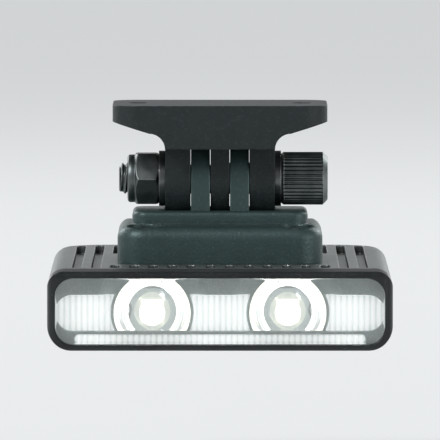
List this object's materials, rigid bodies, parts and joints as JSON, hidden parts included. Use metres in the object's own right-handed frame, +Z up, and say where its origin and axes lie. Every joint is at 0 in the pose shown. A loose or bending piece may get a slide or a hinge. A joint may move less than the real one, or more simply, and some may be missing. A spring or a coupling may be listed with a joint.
{
  "type": "bike headlight",
  "caption": "Flat wide twin-lamp bike headlight that hangs and tilts on a finger hinge below a bar or computer mount, with a finned roof, lit bar, sealed cell, button and port cover.",
  "frame": {"origin": "centre of the flat top face of the hanger, where the headlight is bolted below a bar or computer mount", "axes": "+Z up out of the hanger's top face, the beam leaves along -Y, +X to the right for someone who faces the lamp"},
  "size_m": [0.054, 0.0805, 0.0373],
  "materials": {
    "hanger_nylon": "moulded glass-filled nylon, fine grain",
    "hinge_steel": "turned, dark burnished steel",
    "washer_steel": "burnished steel",
    "base_alloy": "black anodised, bead blasted",
    "black_screw": "black oxide",
    "shell_alloy": "dark grey anodised die casting",
    "tray_plastic": "fine moulded grain",
    "seal_rubber": "silicone",
    "bezel_gloss": "polished",
    "lens_clear": "hard coated clear",
    "optic_clear": "clear moulded",
    "holder_plastic": "grey moulded",
    "diffuser_white": "milky diffuser, lit",
    "lamp_board_white": "white solder mask on aluminium",
    "emitter": "phosphor under silicone, lit",
    "small_screw": "zinc plated",
    "heat_alloy": "bent sheet",
    "pad_silicone": "soft pad",
    "cell_foil": "pouch foil",
    "cell_foam": "closed cell foam",
    "tab_nickel": "nickel strip",
    "flex_film": "amber film",
    "board_green": "solder mask",
    "board_parts": "moulded parts",
    "socket_steel": "drawn steel shell",
    "switch_body": "moulded",
    "pipe_clear": "clear rod",
    "button_rubber": "soft touch",
    "flap_rubber": "soft touch"
  },
  "bodies": {
    "hanger": {"hanger_bracket": "hanger_nylon", "pivot_bolt": "hinge_steel", "pivot_nut": "hinge_steel", "pivot_washers": "washer_steel"},
    "lamp": {"finger_base": "base_alloy", "base_screws": "black_screw", "upper_housing": "shell_alloy", "lower_housing": "tray_plastic", "housing_gasket": "seal_rubber", "housing_screws": "black_screw", "front_bezel": "bezel_gloss", "front_lens": "lens_clear", "lens_gasket": "seal_rubber", "optic_left": "optic_clear", "optic_right": "optic_clear", "optic_holder": "holder_plastic", "light_bars": "diffuser_white", "led_board": "lamp_board_white", "main_leds": "emitter", "bar_leds": "emitter", "led_board_screws": "small_screw", "heat_spreader": "heat_alloy", "thermal_pad": "pad_silicone", "battery_cell": "cell_foil", "battery_foam": "cell_foam", "battery_tabs": "tab_nickel", "led_flex": "flex_film", "driver_board": "board_green", "driver_parts": "board_parts", "board_screws": "small_screw", "usb_socket": "socket_steel", "tact_switch": "switch_body", "status_pipes": "pipe_clear"},
    "button": {"power_button": "button_rubber"},
    "port_cover": {"port_flap": "flap_rubber"}
  },
  "joints": [
    {"name": "lamp_tilt", "type": "hinge", "parent": "hanger", "child": "lamp", "pos_m": [0, 0, -0.012], "axis": [1, 0, 0], "range_deg": [-30, 30]},
    {"name": "button_press", "type": "slide", "parent": "lamp", "child": "button", "axis": [0, 0, 1], "range_m": [0, 0.0006], "stiffness_N_per_m": 2500},
    {"name": "cover_open", "type": "hinge", "parent": "lamp", "child": "port_cover", "pos_m": [0, 0.044, -0.0276], "axis": [1, 0, 0], "range_deg": [0, 110]}
  ]
}
